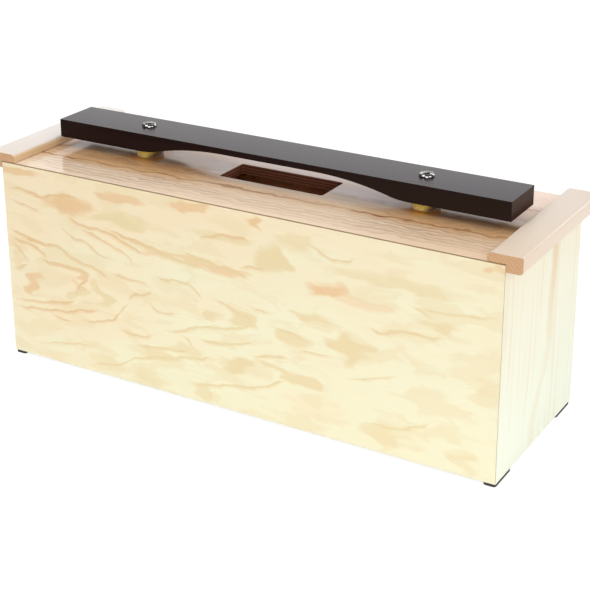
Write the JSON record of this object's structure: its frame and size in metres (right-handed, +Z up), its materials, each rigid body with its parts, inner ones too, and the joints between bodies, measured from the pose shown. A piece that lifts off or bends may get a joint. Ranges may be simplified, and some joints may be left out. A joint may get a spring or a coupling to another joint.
{
  "type": "resonator bar",
  "caption": "Tuned hardwood bar screwed down loosely on felt pads over a mitred plywood resonance box with a sound hole, beech end rails and thin rubber feet.",
  "frame": {"origin": "on the floor that the feet stand on, below the middle of the box", "axes": "+X along the bar to the right as seen from the front, +Y to the back, +Z up"},
  "size_m": [0.671, 0.214, 0.2868],
  "materials": {
    "pine_plywood": "clear lacquer over rotary-cut pine",
    "spruce": "sawn, bare",
    "beech": "planed, clear lacquer",
    "rosewood": "fine sanded, satin oil",
    "felt": "pressed wool felt",
    "nylon": "extruded",
    "nickel": "bright nickel plate",
    "rubber": "cut sheet rubber"
  },
  "bodies": {
    "box": {"front_panel": "pine_plywood", "back_panel": "pine_plywood", "left_end_panel": "pine_plywood", "right_end_panel": "pine_plywood", "bottom_panel": "pine_plywood", "top_deck": "pine_plywood", "front_left_corner_block": "spruce", "front_right_corner_block": "spruce", "back_left_corner_block": "spruce", "back_right_corner_block": "spruce", "left_deck_batten": "spruce", "right_deck_batten": "spruce", "left_end_rail": "beech", "right_end_rail": "beech", "front_left_foot": "rubber", "front_right_foot": "rubber", "back_left_foot": "rubber", "back_right_foot": "rubber", "left_felt_pad": "felt", "right_felt_pad": "felt", "left_spacer_sleeve": "nylon", "right_spacer_sleeve": "nylon", "left_cup_washer": "nickel", "right_cup_washer": "nickel", "left_bar_screw": "nickel", "right_bar_screw": "nickel"},
    "bar": {"tone_bar": "rosewood"}
  },
  "joints": [
    {"name": "bar_float", "type": "slide", "parent": "box", "child": "bar", "axis": [0, 0, 1], "range_m": [0, 0.0005]}
  ]
}
